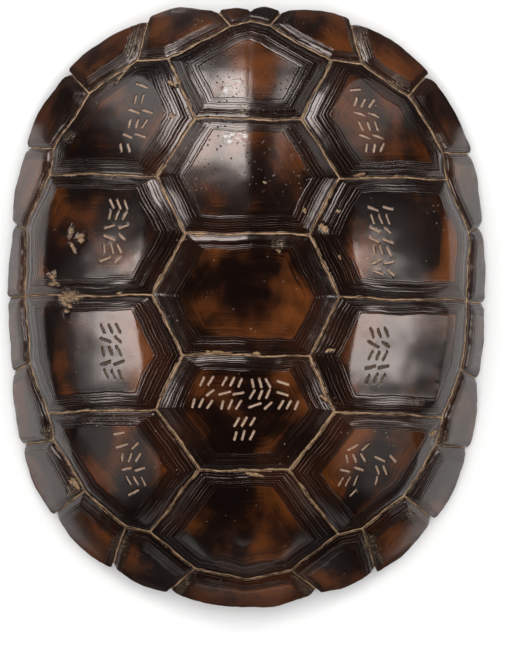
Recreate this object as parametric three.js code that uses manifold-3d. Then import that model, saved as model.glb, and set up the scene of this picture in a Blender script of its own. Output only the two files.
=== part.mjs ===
// An oracle bone made from the upper shell of a turtle, lying on its rim with the dome up.
// A thick domed shell of bone carries thirty-five thin horn plates, the scutes, which butt along
// open seams. Each plate is stepped by growth rings, and columns of short strokes are cut in it.
// Millimetres, +Z up, +Y towards the head end, origin on the table under the middle of the shell.
import * as THREE from "three";
import Module from "manifold-3d";
import { mergeVertices } from "three/addons/utils/BufferGeometryUtils.js";

const wasm = await Module();
wasm.setup();

// The shell as a whole
const shellLength = 220;
const shellWidth = 174;
const shellHeight = 68;
const keelHeight = 1.2;
const keelWidth = 9;

// The bone, and the rim that it stands on
const boneThickness = 4.5;
const rimThickness = 3.5;
const endLift = 7;
const endFlare = 8;

// The horn plates
const hornEdge = 0.9;
const hornCrown = 2.1;
const hornClearance = 0.3;
const hornLift = 0.5;
const seamGap = 0.8;

// How far a rim plate swells out between its seams, and how far its rear corner stands out,
// at the shell's side and at its ends
const sideSwell = 0.7;
const endSwell = 2.4;
const sideCorner = 0.5;
const endCorner = 2;

// Widths of the stepped growth rings, by the side of the plate that they run along
const ringsAhead = 5;
const ringsBehind = 6.2;
const ringsInward = 8.4;
const ringsOutward = 6;
const ringsAtHead = 8;
const rimRingsAhead = 4.2;
const rimRingsBehind = 2.4;
const rimBevel = 0.5;

// The cut strokes
const strokeWidth = 1.5;
const strokeDepth = 0.6;
const signSize = 9.5;

const halfLength = shellLength / 2;
const halfWidth = shellWidth / 2;

// Where three or four plates meet, on the right half, as shares of the half width and half length
const seams = {
  nuchalBack: [0, 0.956],
  nuchalSide: [0.083, 0.938],
  shoulder: [0.345, 0.824],
  firstSecond: [0.222, 0.623],
  secondFlank: [0.381, 0.431],
  secondThird: [0.26, 0.241],
  thirdFlank: [0.392, 0.035],
  thirdFourth: [0.267, -0.16],
  fourthFlank: [0.375, -0.342],
  fourthFifth: [0.191, -0.541],
  hip: [0.394, -0.755],
  tailSide: [0.203, -0.874],
  tailBack: [0, -0.911],
  rim1: [0.477, 0.814],
  rim2: [0.674, 0.71],
  rim3: [0.82, 0.526],
  costal1: [0.843, 0.434],
  rim4: [0.937, 0.256],
  rim5: [0.935, 0.028],
  rim6: [0.915, -0.198],
  costal3: [0.829, -0.36],
  rim7: [0.811, -0.449],
  rim8: [0.674, -0.62],
  rim9: [0.496, -0.737],
};

// Where the seams of the rim plates reach the edge, from the head round to the tail
const edgeSeams = [
  [0.133, 0.985],
  [0.432, 0.946],
  [0.752, 0.774],
  [0.925, 0.524],
  [0.98, 0.27],
  [0.997, 0.023],
  [0.974, -0.225],
  [0.932, -0.465],
  [0.79, -0.697],
  [0.554, -0.865],
  [0.305, -0.945],
];
const edgeHead = [0, 0.988];
const edgeTail = [0, -0.997];
const edgeSteps = 4;
const longestFacet = 20;

const mix = (a, b, t) => a + (b - a) * t;
const clamp01 = (t) => Math.min(1, Math.max(0, t));
const smooth = (t) => clamp01(t) ** 2 * (3 - 2 * clamp01(t));
const place = ([x, y], side = 1) => new THREE.Vector2(side * x * halfWidth, y * halfLength);

// The smooth oval that the seams' outer ends lie on: its radius by angle, even about the middle line
const knots = [edgeHead, ...edgeSeams, edgeTail].map((share) => {
  const p = place(share);
  return { angle: Math.atan2(p.y, p.x), radius: p.length() };
});

function edgeRadius(angle) {
  const last = knots.length - 1;
  const bent = Math.abs(angle) > Math.PI / 2 ? Math.sign(angle) * Math.PI - angle : angle;
  let i = knots.findIndex((k, n) => n < last && bent <= k.angle && bent >= knots[n + 1].angle);
  i = i < 0 ? (bent > 0 ? 0 : last - 1) : i;
  const [a, b] = [knots[i], knots[i + 1]];
  const slope = (n) =>
    n === 0 || n === last
      ? 0
      : (knots[n + 1].radius - knots[n - 1].radius) / (knots[n + 1].angle - knots[n - 1].angle);
  const span = b.angle - a.angle;
  const t = clamp01((bent - a.angle) / span);
  return (
    (2 * t ** 3 - 3 * t ** 2 + 1) * a.radius +
    (t ** 3 - 2 * t ** 2 + t) * span * slope(i) +
    (3 * t ** 2 - 2 * t ** 3) * b.radius +
    (t ** 3 - t ** 2) * span * slope(i + 1)
  );
}

// Height of the bone's underside at the rim: flat on the table along both sides, raised at the ends
const flatRim = 0.5;
const underRim = (angle) => endLift * smooth((Math.abs(Math.sin(angle)) - flatRim) / (1 - flatRim));

// The dome's height at a share of the way out to the edge: full at the top, steep at the sides,
// and flaring outwards towards the ends
const steepness = 0.985;
const flareStart = 0.84;
const domeTop = shellHeight - (hornCrown - hornEdge) - keelHeight;

function domeHeight(reach, angle) {
  const ends = Math.sin(angle) ** 2;
  const fall = mix(2.2, 3.2, ends);
  const round = mix(0.6, 0.8, ends);
  const curve = (t) => (1 - (steepness * t) ** fall) ** round;
  const share = (curve(reach) - curve(1)) / (1 - curve(1));
  const flare = endFlare * ends;
  const foot = rimThickness + underRim(angle) - flare;
  const turnUp = Math.max(0, (reach - flareStart) / (1 - flareStart)) ** 2;
  return foot + (domeTop - foot) * share + flare * turnUp;
}

// The outer face of the horn at its seams, over a point of the plan; past the edge it droops less
const droop = 0.4;
const slopeStep = 0.01;

function crownHeight(x, y) {
  const angle = Math.atan2(y, x);
  const radius = edgeRadius(angle);
  const reach = Math.hypot(x, y) / radius;
  const keel = keelHeight * Math.exp(-((Math.abs(x) / keelWidth) ** 1.4)) * (1 - clamp01(reach) ** 4);
  if (reach <= 1) return domeHeight(reach, angle) + keel;
  const slope = (domeHeight(1, angle) - domeHeight(1 - slopeStep, angle)) / slopeStep;
  return domeHeight(1, angle) + droop * slope * (reach - 1);
}

const probe = 0.05;

function normalAt(x, y) {
  const dx = crownHeight(x + probe, y) - crownHeight(x - probe, y);
  const dy = crownHeight(x, y + probe) - crownHeight(x, y - probe);
  return new THREE.Vector3(-dx, -dy, 2 * probe).normalize();
}

// A point of the horn's seam-level face, raised along the normal; a negative rise goes inwards
function onShell(p, rise) {
  const point = new THREE.Vector3(p.x, p.y, crownHeight(p.x, p.y));
  return point.addScaledVector(normalAt(p.x, p.y), rise);
}

// A closed skin of equal loops, from the middle of the underside round to the middle of the top
class Skin {
  positions = [];

  triangle(a, b, c) {
    this.positions.push(...a.toArray(), ...b.toArray(), ...c.toArray());
  }

  facet(a, b, c, facesUp) {
    if (facesUp) this.triangle(a, b, c);
    else this.triangle(b, a, c);
  }

  quad(a, b, c, d) {
    this.triangle(a, b, c);
    this.triangle(a, c, d);
  }

  band(outer, inner, facesUp = true) {
    outer.forEach((a, i) => {
      const next = (i + 1) % outer.length;
      this.facet(a, outer[next], inner[next], facesUp);
      this.facet(a, inner[next], inner[i], facesUp);
    });
  }

  cap(loop, middle, facesUp) {
    loop.forEach((a, i) => this.facet(a, loop[(i + 1) % loop.length], middle, facesUp));
  }

  solid() {
    const soup = new THREE.BufferGeometry();
    soup.setAttribute("position", new THREE.Float32BufferAttribute(this.positions, 3));
    return toSolid(soup);
  }
}

function toSolid(geometry) {
  const merged = mergeVertices(geometry, 1e-4);
  const kept = [];
  const index = merged.index.array;
  for (let i = 0; i < index.length; i += 3) {
    const [a, b, c] = index.subarray(i, i + 3);
    if (a !== b && b !== c && c !== a) kept.push(a, b, c);
  }
  const vertProperties = merged.attributes.position.array;
  return new wasm.Manifold(
    new wasm.Mesh({ numProp: 3, vertProperties, triVerts: new Uint32Array(kept) }),
  );
}

function toGeometry(solid) {
  const mesh = solid.getMesh();
  const geometry = new THREE.BufferGeometry();
  geometry.setAttribute("position", new THREE.BufferAttribute(mesh.vertProperties, 3));
  geometry.setIndex(new THREE.BufferAttribute(mesh.triVerts, 1));
  geometry.computeVertexNormals();
  return geometry;
}

// An outline's corners, run counter-clockwise seen from above. rings is the width of the growth
// rings along the edge that starts at the corner, outer says that this edge is the shell's own edge,
// and proud is where the horn stands out there beyond the smooth oval.
const flush = new THREE.Vector2();
const corner = (at, rings, outer = false, proud = flush) => ({ at, rings, outer, proud });
const flipped = ({ x, y }) => new THREE.Vector2(-x, y);

const isOnEdge = (corners, i) => corners[i].outer || corners.at(i - 1).outer;

// The corners moved in from each edge by its own inset, with mitred angles
function mitred(corners, inset, withProud) {
  const at = corners.map(({ at, proud }) => (withProud ? at.clone().add(proud) : at));
  const count = at.length;
  const inward = at.map((a, i) => {
    const along = at[(i + 1) % count].clone().sub(a).normalize();
    return new THREE.Vector2(-along.y, along.x);
  });
  return at.map((a, i) => {
    const [n, m] = [inward.at(i - 1), inward[i]];
    const [dn, dm] = [inset(corners.at(i - 1)), inset(corners[i])];
    const turn = n.x * m.y - n.y * m.x;
    if (Math.abs(turn) < 0.12) return a.clone().addScaledVector(n.clone().add(m).normalize(), (dn + dm) / 2);
    return new THREE.Vector2(a.x + (dn * m.y - dm * n.y) / turn, a.y + (dm * n.x - dn * m.x) / turn);
  });
}

// The same corners with points between them, so that plates that share a seam share its points
function divided(corners, points) {
  return corners.flatMap(({ at, outer }, i) => {
    const next = (i + 1) % corners.length;
    const steps = outer ? 1 : Math.ceil(at.distanceTo(corners[next].at) / longestFacet);
    return Array.from({ length: steps }, (_, k) => ({
      at: points[i].clone().lerp(points[next], k / steps),
      onEdge: k === 0 && isOnEdge(corners, i),
      outer,
    }));
  });
}

const shrunk = (loop, middle, keep) => loop.map(({ at }) => middle.clone().lerp(at, keep));
const centreOf = (points) =>
  points.reduce((sum, p) => sum.add(p), new THREE.Vector2()).divideScalar(points.length);

// Growth rings: how far in the step lies, and how high the horn stands there, both as shares
const ringSteps = [
  [0, 0],
  [0.28, 0.16],
  [0.34, 0.46],
  [0.62, 0.56],
  [0.68, 0.86],
  [1, 1],
];
const rimRingSteps = [
  [0, 0],
  [0.45, 0.2],
  [0.52, 0.7],
  [1, 1],
];
const innerLoop = 0.5;

// The points under a plate, which the bone's top shares: they start at the open seam's near side
const gap = ({ outer }) => (outer ? 0 : seamGap / 2);

function underPlate(corners) {
  const under = divided(corners, mitred(corners, gap, false));
  const middle = centreOf(under.map(({ at }) => at));
  return { under, middle, inner: shrunk(under, middle, innerLoop) };
}

// One horn plate: its underside follows the bone, and its top climbs the growth rings to a smooth middle
function hornPlate(corners, steps) {
  const skin = new Skin();
  const low = (p) => onShell(p, -hornEdge);
  const { under, middle: underMiddle, inner } = underPlate(corners);
  const lowLoop = inner.map(low);
  const underLoop = under.map(({ at }) => low(at));
  skin.cap(lowLoop, low(underMiddle), false);
  skin.band(underLoop, lowLoop, false);

  const loops = steps.map(([inward, rise]) => {
    const inset = (c) => gap(c) + inward * c.rings;
    const loop = divided(corners, mitred(corners, inset, true));
    return loop.map(({ at }) => ({ at, rise: rise * (hornCrown - hornEdge) }));
  });
  const top = loops.map((loop) => loop.map(({ at, rise }) => onShell(at, rise)));

  // A plain wall along the seams; at the shell's edge the horn turns down over the bone and stops
  // short of its underside
  const foot = (p) => new THREE.Vector3(p.x, p.y, underRim(Math.atan2(p.y, p.x)) + hornLift);
  const [footIn, footOut] = [underLoop.map(foot), top[0].map(foot)];
  under.forEach(({ onEdge, outer }, i) => {
    const next = (i + 1) % under.length;
    if (outer) {
      skin.quad(underLoop[i], underLoop[next], footIn[next], footIn[i]);
      skin.quad(footIn[i], footIn[next], footOut[next], footOut[i]);
      skin.quad(footOut[i], footOut[next], top[0][next], top[0][i]);
    } else skin.quad(underLoop[i], underLoop[next], top[0][next], top[0][i]);
    const afterEdge = under.at(i - 1).outer;
    if (onEdge && !afterEdge) skin.quad(underLoop[i], footIn[i], footOut[i], top[0][i]);
    if (onEdge && !outer) skin.quad(top[0][i], footOut[i], footIn[i], underLoop[i]);
  });
  top.slice(1).forEach((loop, i) => skin.band(top[i], loop));

  const middle = centreOf(loops.at(-1).map(({ at }) => at));
  const crown = hornCrown - hornEdge;
  const topLoop = shrunk(loops.at(-1), middle, innerLoop).map((p) => onShell(p, crown));
  skin.band(top.at(-1), topLoop);
  skin.cap(topLoop, onShell(middle, crown), true);
  return skin.solid();
}

// Points of the shell's edge between two seams, with the plate's swell and its rear corner, which
// stand out in the direction that the seams run in
function edgeRun(from, to, seamFrom, seamTo, swellBy, cornerBy) {
  const [a, b, c, d] = [from, to, seamFrom, seamTo].map((share) => place(share));
  const [start, end] = [Math.atan2(a.y, a.x), Math.atan2(b.y, b.x)];
  const [first, last] = [a.sub(c).normalize(), b.sub(d).normalize()];
  return Array.from({ length: edgeSteps + 1 }, (_, k) => {
    const t = k / edgeSteps;
    const angle = mix(start, end, t);
    const radius = edgeRadius(angle);
    const ends = Math.sin(angle) ** 2;
    const out = swellBy(ends) * Math.sin(Math.PI * t) + cornerBy(ends) * t ** 3;
    const at = new THREE.Vector2(radius * Math.cos(angle), radius * Math.sin(angle));
    return { at, proud: first.clone().lerp(last, t).setLength(out) };
  });
}

const nothing = () => 0;
const rimSwell = (ends) => mix(sideSwell, endSwell, ends);
const rimCorner = (ends) => mix(sideCorner, endCorner, ends);

// Outlines are written for the right half. A left one is mirrored and run the other way round,
// so each corner takes the edge that used to end at it.
function mirrored(corners) {
  const left = corners.map(({ at, proud }, i) => {
    const { rings, outer } = corners.at(i - 1);
    return corner(flipped(at), rings, outer, flipped(proud));
  });
  return left.reverse();
}

const seamCorner = (name, rings, side = 1) => corner(place(seams[name], side), rings);

// The plates of the middle row, from the head to the tail
const vertebrals = [
  [
    seamCorner("nuchalSide", ringsAtHead),
    seamCorner("nuchalBack", ringsAtHead),
    seamCorner("nuchalSide", ringsAtHead, -1),
    seamCorner("shoulder", ringsInward, -1),
    seamCorner("firstSecond", ringsBehind, -1),
    seamCorner("firstSecond", ringsInward),
    seamCorner("shoulder", ringsAtHead),
  ],
  ...[
    ["firstSecond", "secondFlank", "secondThird"],
    ["secondThird", "thirdFlank", "thirdFourth"],
    ["thirdFourth", "fourthFlank", "fourthFifth"],
  ].map(([ahead, flank, behind]) => [
    seamCorner(ahead, ringsAhead),
    seamCorner(ahead, ringsInward, -1),
    seamCorner(flank, ringsInward, -1),
    seamCorner(behind, ringsBehind, -1),
    seamCorner(behind, ringsInward),
    seamCorner(flank, ringsInward),
  ]),
  [
    seamCorner("fourthFifth", ringsAhead),
    seamCorner("fourthFifth", ringsInward, -1),
    seamCorner("hip", ringsBehind, -1),
    seamCorner("tailSide", ringsBehind, -1),
    seamCorner("tailBack", ringsBehind),
    seamCorner("tailSide", ringsBehind),
    seamCorner("hip", ringsInward),
  ],
];

// The big side plates of the right half
const costals = [
  [
    seamCorner("shoulder", ringsInward),
    seamCorner("firstSecond", ringsInward),
    seamCorner("secondFlank", ringsAhead),
    seamCorner("costal1", ringsOutward),
    seamCorner("rim3", ringsOutward),
    seamCorner("rim2", ringsOutward),
    seamCorner("rim1", ringsOutward),
  ],
  [
    seamCorner("secondFlank", ringsInward),
    seamCorner("secondThird", ringsInward),
    seamCorner("thirdFlank", ringsBehind),
    seamCorner("rim5", ringsOutward),
    seamCorner("rim4", ringsOutward),
    seamCorner("costal1", ringsAhead),
  ],
  [
    seamCorner("thirdFlank", ringsInward),
    seamCorner("thirdFourth", ringsInward),
    seamCorner("fourthFlank", ringsBehind),
    seamCorner("costal3", ringsOutward),
    seamCorner("rim6", ringsOutward),
    seamCorner("rim5", ringsAhead),
  ],
  [
    seamCorner("fourthFlank", ringsInward),
    seamCorner("fourthFifth", ringsInward),
    seamCorner("hip", ringsOutward),
    seamCorner("rim9", ringsOutward),
    seamCorner("rim8", ringsOutward),
    seamCorner("rim7", ringsOutward),
    seamCorner("costal3", ringsAhead),
  ],
];

// The seam points along the inner side of each rim plate of the right half
const rimInner = [
  ["nuchalSide", "shoulder", "rim1"],
  ["rim1", "rim2"],
  ["rim2", "rim3"],
  ["rim3", "costal1", "rim4"],
  ["rim4", "rim5"],
  ["rim5", "rim6"],
  ["rim6", "costal3", "rim7"],
  ["rim7", "rim8"],
  ["rim8", "rim9"],
  ["rim9", "hip", "tailSide"],
];
const rimRingShare = 0.33;

const marginals = rimInner.map((inner, k) => {
  const [ahead, behind] = [seams[inner[0]], seams[inner.at(-1)]];
  const run = edgeRun(edgeSeams[k], edgeSeams[k + 1], ahead, behind, rimSwell, rimCorner);
  const rings = rimRingShare * Math.min(place(ahead).distanceTo(run[0].at), place(behind).distanceTo(run.at(-1).at));
  return [
    ...inner.slice(0, -1).map((name) => seamCorner(name, rings)),
    seamCorner(inner.at(-1), rimRingsBehind),
    ...run.reverse().map(({ at, proud }, i) => {
      const last = i === edgeSteps;
      return corner(at, last ? rimRingsAhead : rimBevel, !last, proud);
    }),
  ];
});

// The small notched plate over the neck, and the single plate over the tail
const nuchalLobe = 1.6;
const notchDepth = 1;
const toMiddle = (run) => run.slice(0, -1);
const nuchalRun = edgeRun(edgeSeams[0], edgeHead, seams.nuchalSide, seams.nuchalBack, () => nuchalLobe, nothing);
const nuchal = [
  seamCorner("nuchalSide", rimBevel),
  ...toMiddle(nuchalRun).map(({ at, proud }) => corner(at, rimBevel, true, proud)),
  corner(place(edgeHead), rimBevel, true, new THREE.Vector2(0, -notchDepth)),
  ...toMiddle(nuchalRun)
    .reverse()
    .map(({ at, proud }, i) => corner(flipped(at), rimBevel, i < edgeSteps - 1, flipped(proud))),
  seamCorner("nuchalSide", rimBevel, -1),
  seamCorner("nuchalBack", rimBevel),
];

const tailSwell = 1.2;
const tailPoint = 0.6;
const tailRun = edgeRun(edgeSeams.at(-1), edgeTail, seams.tailSide, seams.tailBack, () => tailSwell, nothing);
const tail = [
  seamCorner("tailSide", rimRingsBehind, -1),
  ...toMiddle(tailRun).map(({ at, proud }) => corner(flipped(at), rimBevel, true, flipped(proud))),
  corner(place(edgeTail), rimBevel, true, new THREE.Vector2(0, -tailPoint)),
  ...toMiddle(tailRun)
    .reverse()
    .map(({ at, proud }, i) => {
      const last = i === edgeSteps - 1;
      return corner(at, last ? rimRingsBehind : rimBevel, !last, proud);
    }),
  seamCorner("tailSide", rimRingsBehind),
  seamCorner("tailBack", rimRingsBehind),
];

const plates = new Map([
  ["nuchal_scute", { corners: nuchal, steps: rimRingSteps }],
  ...vertebrals.map((corners, i) => [`vertebral_scute_${i + 1}`, { corners, steps: ringSteps }]),
  ...costals.map((corners, i) => [`right_costal_scute_${i + 1}`, { corners, steps: ringSteps }]),
  ...costals.map((c, i) => [`left_costal_scute_${i + 1}`, { corners: mirrored(c), steps: ringSteps }]),
  ...marginals.map((corners, i) => [`right_marginal_scute_${i + 1}`, { corners, steps: rimRingSteps }]),
  ...marginals.map((c, i) => [`left_marginal_scute_${i + 1}`, { corners: mirrored(c), steps: rimRingSteps }]),
  ["supracaudal_scute", { corners: tail, steps: rimRingSteps }],
]);

// The bone: its top lies under the plates at their clearance, facet for facet, its edge stands on the
// table along both sides, and its hollow inside keeps the bone's thickness
const hollowLoops = [1, 0.8, 0.55, 0.28];

function boneShell() {
  const skin = new Skin();
  const depth = hornEdge + hornClearance;
  const top = (p) => onShell(p, -depth);
  const edge = new Map();
  for (const { corners } of plates.values()) {
    const outline = divided(corners, corners.map(({ at }) => at));
    const loop = outline.map(({ at }) => top(at));
    const { under, middle, inner } = underPlate(corners);
    const loops = [loop, under.map(({ at }) => top(at)), inner.map(top)];
    loops.slice(1).forEach((next, i) => skin.band(loops[i], next));
    skin.cap(loops.at(-1), top(middle), true);
    outline.forEach(({ at, onEdge }, i) => {
      if (onEdge) edge.set(Math.atan2(at.y, at.x).toFixed(4), { at, point: loop[i] });
    });
  }
  const rim = [...edge.values()].sort((a, b) => Math.atan2(a.at.y, a.at.x) - Math.atan2(b.at.y, b.at.x));

  const inside = ({ at }, share) => onShell(at.clone().multiplyScalar(share), -depth - boneThickness);
  const reach = rim.map((r) => {
    const floor = underRim(Math.atan2(r.at.y, r.at.x));
    let [near, far] = [0.5, 1];
    while (far - near > 1e-5) {
      const half = (near + far) / 2;
      if (inside(r, half).z > floor) near = half;
      else far = half;
    }
    return near;
  });
  const hollow = hollowLoops.map((share) => rim.map((r, i) => inside(r, share * reach[i])));
  hollow[0].forEach((p, i) => p.setZ(underRim(Math.atan2(rim[i].at.y, rim[i].at.x))));
  const sole = rim.map(({ at, point }) => new THREE.Vector3(point.x, point.y, underRim(Math.atan2(at.y, at.x))));
  skin.cap(hollow.at(-1), onShell(new THREE.Vector2(), -depth - boneThickness), false);
  hollow.slice(1).forEach((loop, i) => skin.band(loop, hollow[i]));
  skin.band(hollow[0], sole);
  skin.band(sole, rim.map(({ point }) => point));
  return skin.solid();
}

// Columns of cut signs: plate, where the first and the last sign stand, as shares, and how many
const signColumns = [
  ["left_costal_scute_1", [-0.43, 0.69], [-0.49, 0.555], 2],
  ["left_costal_scute_2", [-0.535, 0.365], [-0.575, 0.125], 3],
  ["left_costal_scute_3", [-0.565, -0.05], [-0.545, -0.265], 3],
  ["left_costal_scute_4", [-0.495, -0.46], [-0.44, -0.675], 3],
  ["right_costal_scute_1", [0.475, 0.69], [0.53, 0.5], 3],
  ["right_costal_scute_2", [0.55, 0.335], [0.565, 0.105], 3],
  ["right_costal_scute_3", [0.56, -0.075], [0.53, -0.29], 3],
  ["right_costal_scute_4", [0.475, -0.45], [0.4, -0.655], 3],
  ["right_costal_scute_4", [0.575, -0.53], [0.575, -0.53], 1],
  ["vertebral_scute_4", [-0.17, -0.285], [0.17, -0.295], 4],
  ["vertebral_scute_4", [0, -0.405], [0, -0.485], 2],
];

// A sign is three short strokes of one slanting pattern, turned from sign to sign. Places and lengths
// are shares of the sign, and angles are degrees.
const signStrokes = [
  [0.02, 0.36, 0.6, 14],
  [-0.18, -0.04, 0.5, 66],
  [0.06, -0.4, 0.64, -18],
];
const signTurn = 180;

function strokesOf([, first, last, count], column) {
  return Array.from({ length: count }, (_, k) => {
    const centre = place(first).lerp(place(last), count > 1 ? k / (count - 1) : 0);
    const turned = ((k + column) % 2) * signTurn;
    return signStrokes.map(([x, y, length, degrees]) => {
      const at = new THREE.Vector2(x, y).rotateAround(new THREE.Vector2(), THREE.MathUtils.degToRad(turned));
      const along = THREE.MathUtils.degToRad(degrees);
      const reach = new THREE.Vector2(Math.cos(along), Math.sin(along)).multiplyScalar((length * signSize) / 2);
      const middle = centre.clone().addScaledVector(at, signSize);
      return [middle.clone().sub(reach), middle.clone().add(reach)];
    });
  }).flat();
}

// A wedge that lies along the plate's own top face, with its edge at the depth of the stroke
const strokeClear = 0.6;
const straightDown = new THREE.Vector3(0, 0, -1);

function strokeCutter(plate, [from, to]) {
  const hits = [from, to].map((p) => {
    const ray = new THREE.Raycaster(new THREE.Vector3(p.x, p.y, 2 * shellHeight), straightDown);
    const hit = ray.intersectObject(plate).at(0);
    return hit ? hit.point : onShell(p, hornCrown - hornEdge);
  });
  const along = hits[1].clone().sub(hits[0]);
  const middle = hits[0].clone().add(hits[1]).divideScalar(2);
  const across = normalAt(middle.x, middle.y).cross(along).normalize();
  const outward = along.clone().cross(across).normalize();
  const height = strokeClear + strokeDepth;
  const spread = (strokeWidth * height) / strokeDepth / 2;
  const wedge = new THREE.Shape([
    new THREE.Vector2(-spread, strokeClear),
    new THREE.Vector2(0, -strokeDepth),
    new THREE.Vector2(spread, strokeClear),
  ]);
  const bar = new THREE.ExtrudeGeometry(wedge, { depth: along.length(), bevelEnabled: false });
  bar.deleteAttribute("normal");
  bar.deleteAttribute("uv");
  const basis = new THREE.Matrix4().makeBasis(across, outward, along.normalize());
  return toSolid(bar.applyMatrix4(basis.setPosition(hits[0])));
}

const horn = new THREE.MeshStandardMaterial({ color: "#2c140b", roughness: 0.22, metalness: 0 });
const bone = new THREE.MeshStandardMaterial({ color: "#c4a47e", roughness: 0.75, metalness: 0 });

const oracleShell = new THREE.Group();

function addPiece(name, solid, material) {
  const piece = new THREE.Mesh(toGeometry(solid), material);
  piece.name = name;
  oracleShell.add(piece);
}

addPiece("bone_shell", boneShell(), bone);
for (const [name, { corners, steps }] of plates) {
  const plain = hornPlate(corners, steps);
  const target = new THREE.Mesh(toGeometry(plain), horn);
  const cut = signColumns.reduce((solid, column, n) => {
    if (column[0] !== name) return solid;
    return strokesOf(column, n).reduce((s, stroke) => s.subtract(strokeCutter(target, stroke)), solid);
  }, plain);
  addPiece(name, cut, horn);
}

// The origin lies under the middle of the shell's length
const extent = new THREE.Box3().setFromObject(oracleShell);
oracleShell.position.y = -(extent.min.y + extent.max.y) / 2;

export default oracleShell;
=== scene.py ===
import math

import bmesh
import bpy
import numpy as np
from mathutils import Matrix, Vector
from mathutils.geometry import delaunay_2d_cdt


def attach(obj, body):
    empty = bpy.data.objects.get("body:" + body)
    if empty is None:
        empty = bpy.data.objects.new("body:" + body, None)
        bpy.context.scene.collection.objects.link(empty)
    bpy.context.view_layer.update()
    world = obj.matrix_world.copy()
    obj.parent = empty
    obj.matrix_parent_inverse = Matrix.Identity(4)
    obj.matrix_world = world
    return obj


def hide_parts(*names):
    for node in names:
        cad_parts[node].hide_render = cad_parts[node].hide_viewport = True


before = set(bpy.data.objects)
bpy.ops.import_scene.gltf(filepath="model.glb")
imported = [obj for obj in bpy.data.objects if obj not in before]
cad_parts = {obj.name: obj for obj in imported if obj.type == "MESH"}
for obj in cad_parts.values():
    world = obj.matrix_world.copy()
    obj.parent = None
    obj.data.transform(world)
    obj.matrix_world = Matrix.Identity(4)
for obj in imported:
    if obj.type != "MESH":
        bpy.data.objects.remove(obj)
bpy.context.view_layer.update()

# The bone
# The real shell under the horn is a dome of grown-together bone, a few millimetres thick and hollow
# underneath. It is pale, dry and porous, and it shows as a tan line in the open seams of the horn.

# Sizes are millimetres on the flat plan seen from above, and become metres in the meshes
MM = 0.001
half_length, half_width, shell_height = 110, 87, 68
plan_shift = 0.0863
horn_edge, horn_crown, horn_clearance, horn_lift, seam_gap = 0.9, 2.1, 0.3, 0.5, 0.8
bone_thickness, rim_thickness, end_lift, end_flare, flare_from = 4.5, 3.5, 7, 8, 0.84
keel_height, keel_width, keel_sharpness = 1.2, 9, 1.4
side_fall, side_roundness, end_roundness, dome_reach = 2.2, 0.6, 0.2, 0.985
mirror = np.array([-1, 1])

# Where the horn plates meet, on the right half, as shares of the half width and half length
seams = {
    "nuchal_back": (0, 0.956), "nuchal_side": (0.083, 0.938), "shoulder": (0.345, 0.824),
    "first_second": (0.222, 0.623), "second_flank": (0.381, 0.431), "second_third": (0.26, 0.241),
    "third_flank": (0.392, 0.035), "third_fourth": (0.267, -0.16), "fourth_flank": (0.375, -0.342),
    "fourth_fifth": (0.191, -0.541), "hip": (0.394, -0.755), "tail_side": (0.203, -0.874),
    "tail_back": (0, -0.911), "rim_1": (0.477, 0.814), "rim_2": (0.674, 0.71), "rim_3": (0.82, 0.526),
    "costal_1": (0.843, 0.434), "rim_4": (0.937, 0.256), "rim_5": (0.935, 0.028),
    "rim_6": (0.915, -0.198), "costal_3": (0.829, -0.36), "rim_7": (0.811, -0.449),
    "rim_8": (0.674, -0.62), "rim_9": (0.496, -0.737),
}
edge_seams = [
    (0.133, 0.985), (0.432, 0.946), (0.752, 0.774), (0.925, 0.524), (0.98, 0.27), (0.997, 0.023),
    (0.974, -0.225), (0.932, -0.465), (0.79, -0.697), (0.554, -0.865), (0.305, -0.945),
]
edge_head, edge_tail = (0, 0.988), (0, -0.997)


def place(share, side=1):
    """A place on the plan from its shares of the half width and half length."""
    return np.array([side * share[0] * half_width, share[1] * half_length])


knot_points = np.array([place(s) for s in [edge_tail, *reversed(edge_seams), edge_head]])
knot_angles = np.arctan2(knot_points[:, 1], knot_points[:, 0])
knot_radii = np.hypot(*knot_points.T)
knot_slopes = np.zeros(len(knot_radii))
knot_slopes[1:-1] = (knot_radii[2:] - knot_radii[:-2]) / (knot_angles[2:] - knot_angles[:-2])


def smooth(t):
    """A soft step from 0 to 1."""
    t = np.clip(t, 0, 1)
    return t * t * (3 - 2 * t)


def edge_radius(angle):
    """How far out the smooth oval of the shell's edge lies, by angle round its middle."""
    bent = np.where(np.abs(angle) > math.pi / 2, np.sign(angle) * math.pi - angle, angle)
    i = np.clip(np.searchsorted(knot_angles, bent) - 1, 0, len(knot_angles) - 2)
    span = knot_angles[i + 1] - knot_angles[i]
    t = np.clip((bent - knot_angles[i]) / span, 0, 1)
    return (
        (2 * t**3 - 3 * t**2 + 1) * knot_radii[i]
        + (t**3 - 2 * t**2 + t) * span * knot_slopes[i]
        + (3 * t**2 - 2 * t**3) * knot_radii[i + 1]
        + (t**3 - t**2) * span * knot_slopes[i + 1]
    )


def under_rim(angle):
    """Height of the bone's flat sole: on the table along both sides, raised at the two ends."""
    return end_lift * smooth((np.abs(np.sin(angle)) - 0.5) / 0.5)


def dome(reach, angle):
    """Height of the smooth dome at a share of the way out to the shell's edge."""
    ends = np.sin(angle) ** 2
    fall, roundness = side_fall + ends, side_roundness + end_roundness * ends

    def curve(t):
        return np.maximum(1 - (dome_reach * t) ** fall, 0) ** roundness

    share = (curve(np.clip(reach, 0, 1)) - curve(1)) / (1 - curve(1))
    flare = end_flare * ends
    foot = rim_thickness + under_rim(angle) - flare
    top = shell_height - (horn_crown - horn_edge) - keel_height
    out = np.maximum(0, (np.clip(reach, 0, 1) - flare_from) / (1 - flare_from))
    return foot + (top - foot) * share + flare * out**2


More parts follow.
